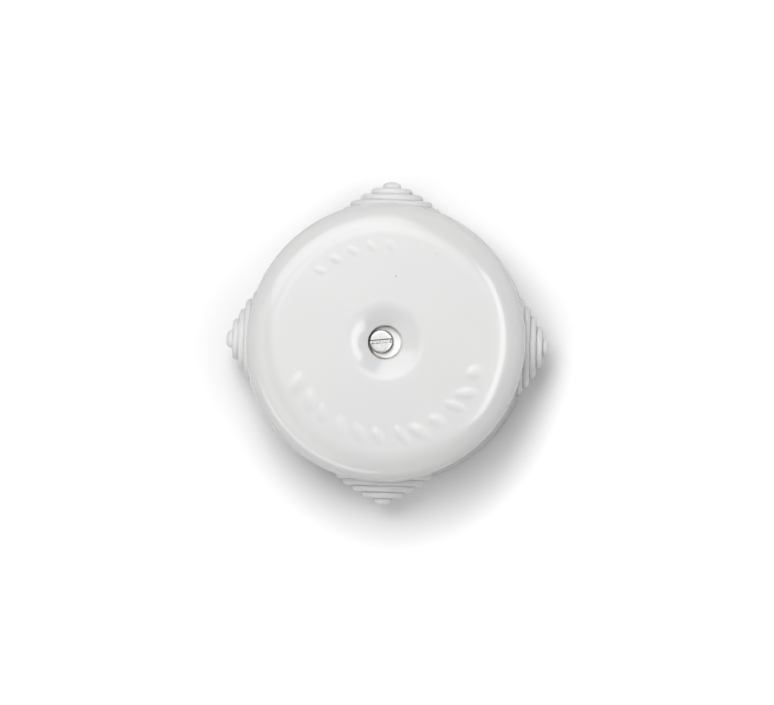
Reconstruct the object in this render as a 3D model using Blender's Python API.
"""Round surface-mounted junction box in glazed porcelain, for a 4-way cable joint.

A thick round base and a thick domed lid, four stepped rubber cable entries, one
central screw that holds the lid, and four brass pillar terminals on a steatite
carrier inside.

Frame: the origin is the centre of the base's flat back, which goes against the
wall. +Z points away from the wall, through the lid. The cable entries lie on
+X, -X, +Y and -Y.
"""

import math
from collections import namedtuple

import bmesh
import bpy
from mathutils import Matrix

# Sizes are in millimetres and angles in degrees. _R is a radius, _Z a height
# above the back, _OUT a distance from the box's axis along a cable entry. A pair
# is a low or inner value, then a high or outer one. Spans of holes reach past
# the wall that they cut, and spans of bosses sink into the wall they stand on.
MM = 0.001
SHARP_ANGLE = 32.0        # edges that turn more than this are shaded sharp
GAP = 0.1                 # between pieces that bear on each other
QUARTERS = (0, 90, 180, 270)

# The screw and its post stand off the counterbore's middle: the pressed and
# fired pieces don't meet exactly
SCREW_X = -1.3


# ------------------------------------------------------------------- the scene
for old in list(bpy.data.objects):
    bpy.data.objects.remove(old, do_unlink=True)
for blocks in (bpy.data.meshes, bpy.data.materials):
    for old in list(blocks):
        blocks.remove(old)

scene = bpy.context.scene
scene.unit_settings.system = "METRIC"
scene.unit_settings.scale_length = 1.0

cutters = bpy.data.collections.new("cutters")
scene.collection.children.link(cutters)


# ------------------------------------------------------------------- materials
def material(name, colour, roughness, metallic=0.0, coat=0.0):
    made = bpy.data.materials.new(name)
    made.use_nodes = True
    made.diffuse_color = (*colour, 1.0)
    made.roughness = roughness
    made.metallic = metallic
    inputs = made.node_tree.nodes["Principled BSDF"].inputs
    inputs["Base Color"].default_value = (*colour, 1.0)
    inputs["Roughness"].default_value = roughness
    inputs["Metallic"].default_value = metallic
    inputs["Coat Weight"].default_value = coat
    return made


PORCELAIN_LID = material(
    "porcelain_lid", colour=(0.86, 0.86, 0.855), roughness=0.12, coat=0.6
)
PORCELAIN_BASE = material(
    "porcelain_base", colour=(0.83, 0.83, 0.82), roughness=0.16, coat=0.5
)
STEATITE = material("steatite", colour=(0.80, 0.77, 0.70), roughness=0.45)
SOFT_PVC = material("soft_pvc", colour=(0.78, 0.785, 0.78), roughness=0.42)
GASKET_RUBBER = material("gasket_rubber", colour=(0.62, 0.62, 0.60), roughness=0.6)
NICKEL = material("nickel_plate", colour=(0.74, 0.73, 0.70), roughness=0.24, metallic=1.0)
ZINC = material("zinc_plate", colour=(0.62, 0.63, 0.64), roughness=0.35, metallic=1.0)
BRASS = material("brass", colour=(0.78, 0.60, 0.30), roughness=0.3, metallic=1.0)
FIBRE = material("fibre_washer", colour=(0.60, 0.34, 0.24), roughness=0.7)


# --------------------------------------------------------------- mesh building
def spin(bm, outline, segments, matrix=Matrix()):
    """Spins an outline of (radius, height) points once round Z.

    An outline that starts and ends on the axis is a solid; any other is closed
    into a ring.
    """
    before = set(bm.verts)
    points = [bm.verts.new((r * MM, 0, z * MM)) for r, z in outline]
    solid = outline[0][0] == 0 and outline[-1][0] == 0
    loop = points if solid else points + points[:1]
    edges = [bm.edges.new(pair) for pair in zip(loop, loop[1:])]
    bmesh.ops.spin(
        bm,
        geom=points + edges,
        cent=(0, 0, 0),
        axis=(0, 0, 1),
        angle=math.tau,
        steps=segments,
        use_merge=True,
    )
    made = [v for v in bm.verts if v not in before]
    bmesh.ops.remove_doubles(bm, verts=made, dist=1e-6)
    made = [v for v in bm.verts if v not in before]
    bmesh.ops.transform(bm, matrix=matrix, verts=made)


def rod(bm, radii, heights, segments, matrix=Matrix()):
    """A stepped rod along Z: each radius runs from one height to the next."""
    outline = [(0, heights[0])]
    for radius, low, high in zip(radii, heights, heights[1:]):
        outline += [(radius, low), (radius, high)]
    spin(bm, outline + [(0, heights[-1])], segments, matrix)


def block(bm, size, centre=(0, 0, 0), matrix=Matrix(), chamfer=0.0):
    """A box, with its edges chamfered if asked."""
    made = bmesh.ops.create_cube(bm, size=1.0)["verts"]
    bmesh.ops.scale(bm, vec=[s * MM for s in size], verts=made)
    bmesh.ops.translate(bm, vec=[c * MM for c in centre], verts=made)
    if chamfer:
        edges = list({e for v in made for e in v.link_edges})
        made = bmesh.ops.bevel(
            bm, geom=edges, offset=chamfer * MM, segments=1, affect="EDGES"
        )["verts"]
    bmesh.ops.transform(bm, matrix=matrix, verts=made)


def arc(centre, radii, start, end, steps):
    """Points of an elliptical arc."""
    angles = [math.radians(start + (end - start) * i / steps) for i in range(steps + 1)]
    return [
        (centre[0] + radii[0] * math.cos(a), centre[1] + radii[1] * math.sin(a))
        for a in angles
    ]


def shift_x(distance):
    return Matrix.Translation((distance * MM, 0, 0))


def around(angle, radius, height=0.0):
    """A place on a circle about the box's axis, facing outwards."""
    return (
        Matrix.Rotation(math.radians(angle), 4, "Z")
        @ Matrix.Translation((radius * MM, 0, height * MM))
    )


def measured_from(origin, heights):
    return [z - origin for z in heights]


# --------------------------------------------------------------------- objects
def mesh_of(name, bm):
    bmesh.ops.recalc_face_normals(bm, faces=bm.faces)
    mesh = bpy.data.meshes.new(name)
    bm.to_mesh(mesh)
    bm.free()
    mesh.shade_smooth()
    mesh.set_sharp_from_angle(angle=math.radians(SHARP_ANGLE))
    return mesh


def placed(name, data, parent, at, turn):
    """An object at a position in its parent's frame, turned by XYZ angles."""
    obj = bpy.data.objects.new(name, data)
    scene.collection.objects.link(obj)
    obj.parent = parent
    obj.location = [c * MM for c in at]
    obj.rotation_euler = [math.radians(angle) for angle in turn]
    return obj


def part(name, bm, finish, parent, at=(0, 0, 0), turn=(0, 0, 0)):
    mesh = mesh_of(name, bm)
    mesh.materials.append(finish)
    return placed(name, mesh, parent, at, turn)


def axis(name, parent=None, at=(0, 0, 0), turn=(0, 0, 0)):
    empty = placed(name, None, parent, at, turn)
    empty.empty_display_size = 0.01
    return empty


def combine(obj, operation, name, bm, parent):
    """Joins a hidden helper to a piece, or cuts it out, with a live boolean."""
    helper = bpy.data.objects.new(name, mesh_of(name, bm))
    cutters.objects.link(helper)
    helper.parent = parent
    helper.hide_render = True
    helper.display_type = "WIRE"
    modifier = obj.modifiers.new(name, "BOOLEAN")
    modifier.operation = operation
    modifier.solver = "EXACT"
    modifier.object = helper


def ring(name, radii, heights, finish, parent, segments, at=(0, 0, 0)):
    bm = bmesh.new()
    inner, outer = radii
    low, high = heights
    spin(bm, [(inner, low), (outer, low), (outer, high), (inner, high)], segments)
    part(name, bm, finish, parent, at)


# --------------------------------------------------------------------- screws
Screw = namedtuple("Screw", "shank_r head_r head_h slot_width slot_depth segments finish")

LID_SCREW = Screw(1.95, 3.5, 2.6, 1.2, 1.2, 24, NICKEL)
POST_SCREW = Screw(1.95, 3.5, 2.4, 1.2, 1.1, 16, ZINC)
M3_SCREW = Screw(1.45, 2.75, 1.8, 0.8, 0.9, 12, ZINC)
CLAMP_SCREW = Screw(1.9, 2.9, 2.0, 1.0, 1.0, 12, NICKEL)

SCREW_TIP_CHAMFER = 0.3   # as a share of the shank's radius
SCREW_HEAD_CHAMFER = 0.35


def cheese_head(name, size, length, parent, at=(0, 0, 0), turn=(0, 0, 0)):
    """A slotted screw along Z: the seat under its head is at zero, the head is
    above it and the shank below."""
    shank_r, head_r, head_h = size.shank_r, size.head_r, size.head_h
    tip = SCREW_TIP_CHAMFER * shank_r
    rounding = SCREW_HEAD_CHAMFER
    bm = bmesh.new()
    spin(
        bm,
        [(0, -length), (shank_r - tip, -length), (shank_r, -length + tip), (shank_r, 0)]
        + [(head_r, 0), (head_r, head_h - rounding), (head_r - rounding, head_h)]
        + [(0, head_h)],
        size.segments,
    )
    screw = part(name, bm, size.finish, parent, at, turn)

    bm = bmesh.new()
    block(bm, (3 * head_r, size.slot_width, 2 * size.slot_depth), (0, 0, head_h))
    combine(screw, "DIFFERENCE", name + "_slot", bm, screw)


# --------------------------------------------------------------- base housing
BASE_R_FOOT = 44.2        # outer radius just above the back edge
BASE_FOOT_ROUND = 1.5
BASE_R_RIM = 43.6         # outer radius at the rim, after the mould's draft
BASE_RIM_Z = 36.5         # height of the flat rim under the gasket
BASE_RIM_CHAMFER = 0.4
BASE_RIM_OUTER_DROP = 0.5 # height of the rim's outer chamfer
BASE_FLOOR_Z = 4.5
BASE_R_INSIDE = 39.8      # inside radius at the rim
BASE_INSIDE_DRAFT = 0.4
BASE_CORNER = 2.0         # chamfer between the inside wall and the floor
BASE_SEGMENTS = 48

# Cable entries
ENTRY_Z = 19.0            # height of the entries' axes
ENTRY_HOLE_R = 13.6
ENTRY_SPOT_R = 15.5       # spot face outside, so that the flange sits flat
ENTRY_SPOT_OUT = 40.6
ENTRY_CUT_OUT = (35.0, 47.0)
ENTRY_BOSS_R = 14.9       # flat boss inside
ENTRY_BOSS_OUT = (36.6, ENTRY_SPOT_OUT - 0.3)

# Recess and hole in the back for the post's screw
BACK_RECESS_R = 5.0
BACK_RECESS_Z = 2.8
POST_HOLE_R = 2.3
POST_HOLE_TOP_Z = 6.0
CUT_BACK_Z = -1.0         # where cuts through the back start

WALL_HOLE_R = 2.25
WALL_HOLE_TOP_Z = 8.0
WALL_HOLE_CIRCLE_R = 31.0
WALL_HOLE_ANGLES = (45.0, 225.0)
WALL_BOSS_R = 4.8
WALL_BOSS_Z = (3.0, 6.0)

# Bosses and pockets under the terminal carrier's two screws
CARRIER_SCREW_CIRCLE_R = 20.0
CARRIER_SCREW_ANGLES = (0, 180)
CARRIER_BOSS_R = 4.2
CARRIER_BOSS_Z = (3.0, 7.2)
INSERT_POCKET_R = 3.1
INSERT_POCKET_Z = (2.2, 9.0)


def entry(angle):
    """The frame of a cable entry: its Z axis runs outwards along the entry."""
    return around(angle, 0, ENTRY_Z) @ Matrix.Rotation(math.radians(90), 4, "Y")


def build_base(box):
    foot = BASE_FOOT_ROUND
    chamfer = BASE_RIM_CHAMFER
    wall_foot_r = BASE_R_INSIDE - BASE_INSIDE_DRAFT
    bm = bmesh.new()
    spin(
        bm,
        [(0, 0)]
        + arc((BASE_R_FOOT - foot, foot), (foot, foot), start=-90, end=0, steps=3)
        + [(BASE_R_RIM, BASE_RIM_Z - BASE_RIM_OUTER_DROP)]
        + [(BASE_R_RIM - chamfer, BASE_RIM_Z), (BASE_R_INSIDE + chamfer, BASE_RIM_Z)]
        + [(BASE_R_INSIDE, BASE_RIM_Z - chamfer)]
        + [(wall_foot_r, BASE_FLOOR_Z + BASE_CORNER)]
        + [(wall_foot_r - BASE_CORNER, BASE_FLOOR_Z), (0, BASE_FLOOR_Z)],
        BASE_SEGMENTS,
    )
    base = part("base_housing", bm, PORCELAIN_BASE, box)

    bm = bmesh.new()
    for angle in QUARTERS:
        rod(bm, [ENTRY_BOSS_R], ENTRY_BOSS_OUT, 32, entry(angle))
    combine(base, "UNION", "entry_bosses", bm, box)

    bm = bmesh.new()
    for angle in CARRIER_SCREW_ANGLES:
        rod(bm, [CARRIER_BOSS_R], CARRIER_BOSS_Z, 20, around(angle, CARRIER_SCREW_CIRCLE_R))
    for angle in WALL_HOLE_ANGLES:
        rod(bm, [WALL_BOSS_R], WALL_BOSS_Z, 20, around(angle, WALL_HOLE_CIRCLE_R))
    combine(base, "UNION", "floor_bosses", bm, box)

    bm = bmesh.new()
    inside, outside = ENTRY_CUT_OUT
    for angle in QUARTERS:
        reaches = (inside, ENTRY_SPOT_OUT, outside)
        rod(bm, [ENTRY_HOLE_R, ENTRY_SPOT_R], reaches, 28, entry(angle))
    combine(base, "DIFFERENCE", "entry_holes", bm, box)

    bm = bmesh.new()
    heights = (CUT_BACK_Z, BACK_RECESS_Z, POST_HOLE_TOP_Z)
    rod(bm, [BACK_RECESS_R, POST_HOLE_R], heights, 20, shift_x(SCREW_X))
    for angle in CARRIER_SCREW_ANGLES:
        rod(bm, [INSERT_POCKET_R], INSERT_POCKET_Z, 16, around(angle, CARRIER_SCREW_CIRCLE_R))
    for angle in WALL_HOLE_ANGLES:
        heights = (CUT_BACK_Z, WALL_HOLE_TOP_Z)
        rod(bm, [WALL_HOLE_R], heights, 16, around(angle, WALL_HOLE_CIRCLE_R))
    combine(base, "DIFFERENCE", "floor_holes", bm, box)


# ------------------------------------------------------------- cable grommets
# Radius of each step of the cone, and how far out its end face is
GROMMET_STEPS = [(15.2, 43.0), (12.9, 45.0), (9.85, 47.0), (6.6, 49.0), (2.95, 51.0)]
STEP_CHAMFER = 0.55
GROMMET_GAP = 0.3         # between the grommet and the housing
GROMMET_BACK_OUT = ENTRY_SPOT_OUT + GROMMET_GAP
GROMMET_NECK_R = ENTRY_HOLE_R - GROMMET_GAP
GROMMET_LIP_R = 14.2
GROMMET_LIP_OUT = (33.8, ENTRY_BOSS_OUT[0] - GROMMET_GAP)
GROMMET_LIP_TAPER = 1.3   # length of the lip's tapered inner end
GROMMET_BORE_R = 11.9
GROMMET_BORE_OUT = 41.7   # where the bore starts to narrow
GROMMET_TIP_BORE_R = 1.8
GROMMET_TIP_BORE_OUT = 48.4
GROMMET_SEGMENTS = 20
GROMMET_ANGLES = dict(zip(("east", "north", "west", "south"), QUARTERS))


def grommet_outline():
    """From the inside lip, over the stepped cone to its closed tip, and back
    down inside the hollow."""
    low, high = GROMMET_LIP_OUT
    points = [(GROMMET_BORE_R, low), (GROMMET_NECK_R, low)]
    points += [(GROMMET_LIP_R, low + GROMMET_LIP_TAPER), (GROMMET_LIP_R, high)]
    points += [(GROMMET_NECK_R, high), (GROMMET_NECK_R, GROMMET_BACK_OUT)]
    points += [(GROMMET_STEPS[0][0], GROMMET_BACK_OUT)]
    next_radii = [radius for radius, _ in GROMMET_STEPS[1:]] + [0.0]
    for (radius, top), next_radius in zip(GROMMET_STEPS, next_radii):
        points += [(radius, top - STEP_CHAMFER), (radius - STEP_CHAMFER, top)]
        points += [(next_radius, top)]
    points += [(0, GROMMET_TIP_BORE_OUT), (GROMMET_TIP_BORE_R, GROMMET_TIP_BORE_OUT)]
    return points + [(GROMMET_BORE_R, GROMMET_BORE_OUT)]


def build_grommets(box):
    for name, angle in GROMMET_ANGLES.items():
        bm = bmesh.new()
        spin(bm, grommet_outline(), GROMMET_SEGMENTS)
        # the outline's stretch along the axis leaves edges with no face
        loose = [e for e in bm.edges if not e.link_faces]
        bmesh.ops.delete(bm, geom=loose, context="EDGES")
        part(f"cable_grommet_{name}", bm, SOFT_PVC, box, (0, 0, ENTRY_Z), (0, 90, angle))


# ------------------------------------------------------------------- the lid
LID_R = 43.8
LID_TOP_Z = 48.0          # height at the middle of the face, before the dimple
LID_CROWN = 0.6           # how much the face falls by LID_FLAT_R
LID_FLAT_R = 33.0
LID_FACE_RING_R = 23.0    # ring of points between the shoulder and the dimple
LID_SHOULDER_Z = 38.4     # where the rounded shoulder meets the upright edge
LID_EDGE_Z = 36.9
LID_SEAT_Z = 37.7
LID_LIP_R = 42.9
SPIGOT_R = (36.8, 39.0)
SPIGOT_Z = 34.6
DIMPLE_R = 12.9           # soft dimple round the screw hole
DIMPLE_DEPTH = 2.7
DIMPLE_STEPS = 5
COUNTERBORE_R = 5.33
COUNTERBORE_Z = 40.8      # floor of the counterbore
LID_BOSS_R = 8.4
LID_BOSS_Z = 38.6         # underside of the boss round the screw hole
LID_CEILING_Z = 43.3
LID_HOLE_R = 2.4
LID_HOLE_Z = (36.0, 42.0)
LID_SEGMENTS = 48

# The lid's hollow, from the boss out to the spigot: radius, height
LID_HOLLOW = [
    (LID_BOSS_R, LID_BOSS_Z),
    (LID_BOSS_R + 0.6, LID_CEILING_Z - 0.8),
    (LID_BOSS_R + 1.6, LID_CEILING_Z),
    (31.5, LID_CEILING_Z - 0.3),
    (34.8, LID_CEILING_Z - 2.0),
    (36.4, LID_CEILING_Z - 5.0),
    (SPIGOT_R[0], SPIGOT_Z),
]

GASKET_R = (39.9, 42.6)
GASKET_Z = (BASE_RIM_Z + GAP, LID_SEAT_Z - GAP)


def face_height(r):
    """The face is a very shallow crown."""
    return LID_TOP_Z - LID_CROWN * (r / LID_FLAT_R) ** 2


def dimple_height(r):
    """The dimple falls from the face with an eased start and a steep end."""
    t = (DIMPLE_R - r) / (DIMPLE_R - COUNTERBORE_R)
    return face_height(r) - DIMPLE_DEPTH * t * t * (3 - t) / 2


def lid_outline():
    """From the boss's underside, out under the rim and back over the face."""
    points = [(0, LID_BOSS_Z)] + LID_HOLLOW
    points += [(SPIGOT_R[1], SPIGOT_Z), (SPIGOT_R[1], LID_SEAT_Z)]
    points += [(LID_LIP_R, LID_SEAT_Z), (LID_LIP_R, LID_EDGE_Z), (LID_R, LID_EDGE_Z)]
    points += arc(
        (LID_FLAT_R, LID_SHOULDER_Z),
        (LID_R - LID_FLAT_R, face_height(LID_FLAT_R) - LID_SHOULDER_Z),
        start=0,
        end=90,
        steps=7,
    )
    points += [(LID_FACE_RING_R, face_height(LID_FACE_RING_R))]
    for i in range(DIMPLE_STEPS + 1):
        r = DIMPLE_R - (DIMPLE_R - COUNTERBORE_R) * i / DIMPLE_STEPS
        points.append((r, dimple_height(r)))
    points += [(COUNTERBORE_R, COUNTERBORE_Z), (0, COUNTERBORE_Z)]
    return [(r, z - LID_SEAT_Z) for r, z in points]


def build_lid(box, lid_axis):
    bm = bmesh.new()
    spin(bm, lid_outline(), LID_SEGMENTS)
    lid = part("lid", bm, PORCELAIN_LID, lid_axis)

    bm = bmesh.new()
    rod(bm, [LID_HOLE_R], LID_HOLE_Z, 20, shift_x(SCREW_X))
    combine(lid, "DIFFERENCE", "lid_screw_hole", bm, box)

    heights = measured_from(LID_SEAT_Z, GASKET_Z)
    ring("lid_gasket", GASKET_R, heights, GASKET_RUBBER, lid_axis, BASE_SEGMENTS)


# --------------------------------------------------------- lid screw and post
LID_SCREW_SEAT_Z = 41.8
LID_SCREW_TIP_Z = 29.8
LID_SCREW_SLOT_ANGLE = 6.6
WASHER_R = (2.2, 3.7)
WASHER_Z = (COUNTERBORE_Z + GAP, LID_SCREW_SEAT_Z - GAP)

POST_R = 4.0
POST_Z = (BASE_FLOOR_Z + GAP, 38.2)
POST_CHAMFER = 0.4
POST_BORE_R = 2.1
POST_TOP_BORE_Z = 22.0
POST_BACK_BORE_Z = 18.0
POST_SCREW_SEAT_Z = BACK_RECESS_Z - GAP
POST_SCREW_TIP_Z = 15.0


def build_lid_screw(lid_axis):
    at = (SCREW_X, 0, LID_SCREW_SEAT_Z - LID_SEAT_Z)
    screw_axis = axis("lid_screw_axis", lid_axis, at)
    heights = measured_from(LID_SCREW_SEAT_Z, WASHER_Z)
    ring("lid_screw_washer", WASHER_R, heights, FIBRE, screw_axis, 20)
    length = LID_SCREW_SEAT_Z - LID_SCREW_TIP_Z
    turn = (0, 0, LID_SCREW_SLOT_ANGLE)
    cheese_head("lid_screw", LID_SCREW, length, screw_axis, turn=turn)


def build_post(box):
    """The brass post stands over the floor, on the lid screw's axis."""
    low, high = POST_Z
    bm = bmesh.new()
    spin(
        bm,
        [(0, POST_TOP_BORE_Z), (POST_BORE_R, POST_TOP_BORE_Z), (POST_BORE_R, high)]
        + [(POST_R - POST_CHAMFER, high), (POST_R, high - POST_CHAMFER)]
        + [(POST_R, low), (POST_BORE_R, low)]
        + [(POST_BORE_R, POST_BACK_BORE_Z), (0, POST_BACK_BORE_Z)],
        20,
    )
    part("lid_post", bm, BRASS, box, (SCREW_X, 0, 0))

    # its screw comes from the back, so it is turned over
    length = POST_SCREW_TIP_Z - POST_SCREW_SEAT_Z
    at = (SCREW_X, 0, POST_SCREW_SEAT_Z)
    cheese_head("post_screw", POST_SCREW, length, box, at, turn=(180, 0, 0))


# ------------------------------------------------------------ terminal carrier
CARRIER_R = (7.0, 25.0)
CARRIER_Z = (7.5, 12.5)
CARRIER_CHAMFER = 0.6
CARRIER_CUT_Z = (6.0, 14.0)
RIB_R = (8.4, 16.4)
RIB_WIDTH = 2.2
RIB_Z = (CARRIER_Z[0] + 1.0, 21.0)
RIB_CHAMFER = 0.4

M3_HOLE_R = 1.8
M3_RECESS_R = 3.15
CARRIER_RECESS_Z = 10.3   # floor of the recesses for the carrier's own screws
CARRIER_SCREW_LENGTH = 6.8
CARRIER_SLOT_ANGLE = 35.0
FIXING_RECESS_Z = 9.6     # roof of the recesses below the terminals
INSERT_R = (1.65, 2.8)
INSERT_Z = (2.5, 7.0)

TERMINAL_CIRCLE_R = 17.0
TERMINAL_ANGLES = (45.0, 135.0, 225.0, 315.0)


def build_carrier(box):
    inner, outer = CARRIER_R
    low, high = CARRIER_Z
    bm = bmesh.new()
    spin(
        bm,
        [(inner, low), (outer, low), (outer, high - CARRIER_CHAMFER)]
        + [(outer - CARRIER_CHAMFER, high), (inner, high)],
        36,
    )
    carrier = part("terminal_carrier", bm, STEATITE, box)

    bm = bmesh.new()
    rib = (RIB_R[1] - RIB_R[0], RIB_WIDTH, RIB_Z[1] - RIB_Z[0])
    for angle in QUARTERS:
        middle = around(angle, sum(RIB_R) / 2, sum(RIB_Z) / 2)
        block(bm, rib, matrix=middle, chamfer=RIB_CHAMFER)
    combine(carrier, "UNION", "carrier_ribs", bm, box)

    bm = bmesh.new()
    below, above = CARRIER_CUT_Z
    for angle in CARRIER_SCREW_ANGLES:
        heights = (below, CARRIER_RECESS_Z, above)
        place = around(angle, CARRIER_SCREW_CIRCLE_R)
        rod(bm, [M3_HOLE_R, M3_RECESS_R], heights, 16, place)
    for angle in TERMINAL_ANGLES:
        heights = (below, FIXING_RECESS_Z, above)
        place = around(angle, TERMINAL_CIRCLE_R)
        rod(bm, [M3_RECESS_R, M3_HOLE_R], heights, 16, place)
    combine(carrier, "DIFFERENCE", "carrier_holes", bm, box)


def build_carrier_screws(box):
    for number, side in ((1, 1), (2, -1)):
        x = side * CARRIER_SCREW_CIRCLE_R
        ring(f"threaded_insert_{number}", INSERT_R, INSERT_Z, BRASS, box, 14, (x, 0, 0))
        cheese_head(
            f"carrier_screw_{number}",
            M3_SCREW,
            CARRIER_SCREW_LENGTH,
            box,
            at=(x, 0, CARRIER_RECESS_Z + GAP),
            turn=(0, 0, side * CARRIER_SLOT_ANGLE),
        )


# ------------------------------------------------------------------- terminals
TERMINAL_SIZE = (18.0, 8.0, 9.0)
TERMINAL_CHAMFER = 0.4
TERMINAL_Z = (CARRIER_Z[1] + GAP, CARRIER_Z[1] + GAP + TERMINAL_SIZE[2])
TUNNEL_WIDTH = 5.0
TUNNEL_Z = (13.8, 18.6)
TUNNEL_DEPTH = 7.1
TUNNEL_CUT_PAST = 2.0     # how far the tunnels' cutters stick out of the ends
FIXING_HOLE_R = 1.6
FIXING_HOLE_TOP_Z = 17.6
FIXING_SCREW_LENGTH = 7.5
FIXING_SLOT_ANGLE = 20

CLAMP_X = 5.2             # distance of each clamp from the terminal's middle
CLAMP_HOLE_R = 2.05
CLAMP_SEAT_Z = 24.9       # underside of the clamp screw's head
CLAMP_TIP_Z = 18.4
CUT_PAST = 1.0            # how far the round cutters run past the faces
PLATE_SIZE = (5.6, 4.4, 1.0)
PLATE_Z = 17.3
PLATE_SHIFT = 0.1         # of the plate, outwards from its screw


def clamp_slot_angle(number, side):
    """Each clamp screw stops at an angle of its own."""
    return 25.0 + 55.0 * number + 40.0 * side


def build_terminal_body(number, middle):
    length = TERMINAL_SIZE[0]
    low, high = TERMINAL_Z
    bm = bmesh.new()
    block(bm, TERMINAL_SIZE, (0, 0, low + TERMINAL_SIZE[2] / 2), chamfer=TERMINAL_CHAMFER)
    body = part(f"terminal_body_{number}", bm, BRASS, middle)

    bm = bmesh.new()
    tunnel = (TUNNEL_DEPTH + TUNNEL_CUT_PAST, TUNNEL_WIDTH, TUNNEL_Z[1] - TUNNEL_Z[0])
    tunnel_x = length / 2 - TUNNEL_DEPTH / 2 + TUNNEL_CUT_PAST / 2
    for side in (-1, 1):
        block(bm, tunnel, (side * tunnel_x, 0, sum(TUNNEL_Z) / 2))
    combine(body, "DIFFERENCE", f"tunnels_{number}", bm, middle)

    bm = bmesh.new()
    heights = (TUNNEL_Z[1] - CUT_PAST, high + CUT_PAST)
    for side in (-1, 1):
        rod(bm, [CLAMP_HOLE_R], heights, 12, shift_x(side * CLAMP_X))
    rod(bm, [FIXING_HOLE_R], (low - CUT_PAST, FIXING_HOLE_TOP_Z), 12)
    combine(body, "DIFFERENCE", f"terminal_holes_{number}", bm, middle)


def build_clamp(number, letter, side, middle):
    """A screw and the pressure plate that it pushes down on the wire."""
    label = f"{number}{letter}"
    clamp = axis(f"clamp_{label}_axis", middle, (side * CLAMP_X, 0, CLAMP_SEAT_Z))
    bm = bmesh.new()
    block(bm, PLATE_SIZE, (0, 0, PLATE_Z + PLATE_SIZE[2] / 2 - CLAMP_SEAT_Z))
    part(f"pressure_plate_{label}", bm, ZINC, clamp, (side * PLATE_SHIFT, 0, 0))
    turn = (0, 0, clamp_slot_angle(number, side))
    length = CLAMP_SEAT_Z - CLAMP_TIP_Z
    cheese_head(f"terminal_screw_{label}", CLAMP_SCREW, length, clamp, turn=turn)


def build_terminal(number, angle, box):
    """A block that stands tangentially, with a wire tunnel at either end."""
    x = TERMINAL_CIRCLE_R * math.cos(math.radians(angle))
    y = TERMINAL_CIRCLE_R * math.sin(math.radians(angle))
    middle = axis(f"terminal_{number}", box, (x, y, 0), (0, 0, angle + 90))
    build_terminal_body(number, middle)
    # the fixing screw comes from below the carrier, so it is turned over
    cheese_head(
        f"terminal_fixing_screw_{number}",
        M3_SCREW,
        FIXING_SCREW_LENGTH,
        middle,
        at=(0, 0, FIXING_RECESS_Z - GAP),
        turn=(180, 0, FIXING_SLOT_ANGLE),
    )
    for letter, side in (("a", -1), ("b", 1)):
        build_clamp(number, letter, side, middle)


# -------------------------------------------------------------------- assembly
junction_box = axis("junction_box")
build_base(junction_box)
build_grommets(junction_box)
lid_lift_axis = axis("lid_lift_axis", junction_box, (0, 0, LID_SEAT_Z))
build_lid(junction_box, lid_lift_axis)
build_lid_screw(lid_lift_axis)
build_post(junction_box)
build_carrier(junction_box)
build_carrier_screws(junction_box)
for terminal_number, terminal_angle in enumerate(TERMINAL_ANGLES, 1):
    build_terminal(terminal_number, terminal_angle, junction_box)
